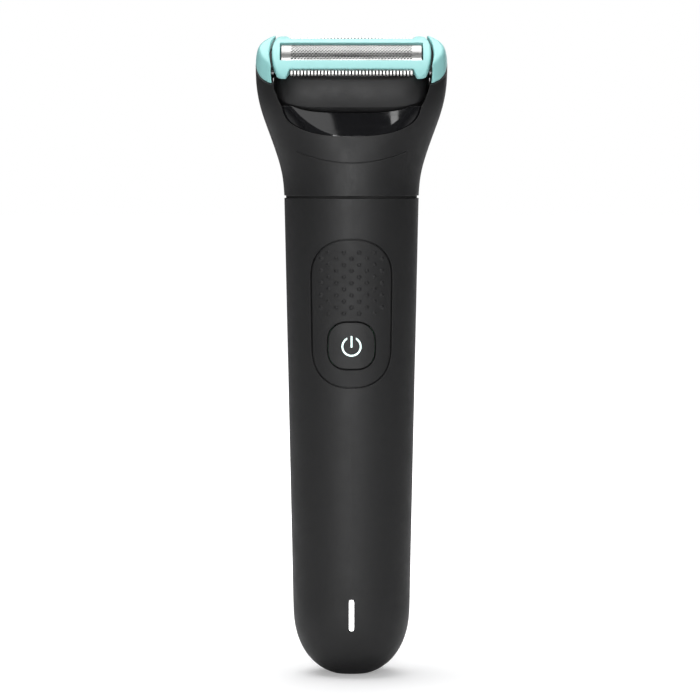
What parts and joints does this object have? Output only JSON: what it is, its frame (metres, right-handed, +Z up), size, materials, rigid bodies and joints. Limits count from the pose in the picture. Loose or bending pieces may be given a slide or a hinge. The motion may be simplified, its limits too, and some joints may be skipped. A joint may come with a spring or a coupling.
{
  "type": "body groomer",
  "caption": "Slim upright hand-held body groomer: rounded black handle with thumb pad and button, flared neck, and a tilting aqua-framed foil head between two arms.",
  "frame": {"origin": "centre of the small flat base face, around the charging socket", "axes": "+Z up the handle towards the head, -Y out of the front where the button is, +X to the right of someone who looks at the button"},
  "size_m": [0.051, 0.0316, 0.1707],
  "materials": {
    "soft_black": "soft-touch black",
    "pad_black": "soft black inlay",
    "button_black": "satin black",
    "icon_light": "pale backlit print",
    "black_rubber": "matte black rubber",
    "gloss_black": "high gloss black",
    "drum_grey": "satin dark grey",
    "aqua_plastic": "satin aqua",
    "light_lens": "frosted lit lens",
    "clear_guide": "clear moulded",
    "board_green": "solder mask",
    "chip_black": "moulded epoxy",
    "switch_metal": "pressed tin plate",
    "led_white": "phosphor white",
    "cell_wrap": "shrink wrap",
    "nickel": "nickel strip",
    "inner_plastic": "moulded grey",
    "screw_steel": "zinc plated",
    "motor_steel": "drawn steel can",
    "end_cap_plastic": "moulded cream",
    "bearing_brass": "turned brass",
    "shaft_steel": "ground steel",
    "socket_steel": "drawn steel",
    "spring_steel": "spring wire",
    "foil_steel": "bright perforated foil",
    "comb_steel": "ground steel",
    "blade_steel": "ground steel"
  },
  "bodies": {
    "handle": {"handle_front_shell": "soft_black", "handle_back_shell": "soft_black", "neck_housing": "soft_black", "thumb_pad": "pad_black", "seam_ring": "black_rubber", "shell_gasket": "black_rubber", "button_seal": "black_rubber", "socket_seal": "black_rubber", "shaft_seal": "black_rubber", "drive_boot": "black_rubber", "neck_cradle": "gloss_black", "left_arm_cap": "aqua_plastic", "right_arm_cap": "aqua_plastic", "charge_light_lens": "light_lens", "light_guide": "clear_guide", "circuit_board": "board_green", "board_chips": "chip_black", "tact_switch": "switch_metal", "status_leds": "led_white", "battery_cell": "cell_wrap", "battery_tabs": "nickel", "motor_terminals": "nickel", "inner_chassis": "inner_plastic", "bridge_guide": "inner_plastic", "socket_tongue": "inner_plastic", "board_screws": "screw_steel", "neck_screws": "screw_steel", "motor_can": "motor_steel", "motor_end_cap": "end_cap_plastic", "motor_bushing": "bearing_brass", "socket_contacts": "bearing_brass", "pivot_pins": "shaft_steel", "guide_rods": "shaft_steel", "charging_socket": "socket_steel"},
    "power_button": {"power_button": "button_black", "power_icon": "icon_light"},
    "motor_rotor": {"motor_shaft": "shaft_steel", "eccentric_hub": "bearing_brass"},
    "drive_slider": {"drive_bridge": "inner_plastic"},
    "head": {"head_drum": "drum_grey", "tilt_springs": "spring_steel"},
    "shaving_unit": {"shaving_frame": "aqua_plastic", "front_comb": "comb_steel", "rear_comb": "comb_steel"},
    "foil_unit": {"shaving_foil": "foil_steel", "foil_holders": "inner_plastic"},
    "cutter": {"cutter_carrier": "inner_plastic", "cutter_blades": "blade_steel", "cutter_springs": "spring_steel"},
    "trimmers": {"trimmer_carriage": "inner_plastic", "front_trimmer_blade": "blade_steel", "rear_trimmer_blade": "blade_steel"}
  },
  "joints": [
    {"name": "button_press", "type": "slide", "parent": "handle", "child": "power_button", "axis": [0, 1, 0], "range_m": [0, 0.0004], "stiffness_N_per_m": 2500, "springref_m": -0.0003},
    {"name": "motor_spin", "type": "hinge", "parent": "handle", "child": "motor_rotor", "pos_m": [0, 0.0006, 0.1], "axis": [0, 0, 1], "continuous": true},
    {"name": "drive_slide", "type": "slide", "parent": "handle", "child": "drive_slider", "axis": [1, 0, 0], "range_m": [-0.0007, 0.0007]},
    {"name": "head_tilt", "type": "hinge", "parent": "handle", "child": "head", "pos_m": [0, -0.001, 0.1603], "axis": [1, 0, 0], "range_deg": [-12, 12], "stiffness_Nm_per_rad": 0.06},
    {"name": "unit_release", "type": "slide", "parent": "head", "child": "shaving_unit", "axis": [0, -0.6157, 0.788], "range_m": [0, 0.014]},
    {"name": "foil_float", "type": "slide", "parent": "shaving_unit", "child": "foil_unit", "axis": [0, 0.6157, -0.788], "range_m": [0, 0.0005], "stiffness_N_per_m": 1200, "springref_m": -0.0002},
    {"name": "cutter_slide", "type": "slide", "parent": "foil_unit", "child": "cutter", "axis": [1, 0, 0], "range_m": [-0.0007, 0.0007]},
    {"name": "trimmer_slide", "type": "slide", "parent": "shaving_unit", "child": "trimmers", "axis": [1, 0, 0], "range_m": [-0.0007, 0.0007]}
  ],
  "couplings": [
    {"joint": "cutter_slide", "follows": "drive_slide", "ratio": 1},
    {"joint": "trimmer_slide", "follows": "drive_slide", "ratio": 1}
  ]
}
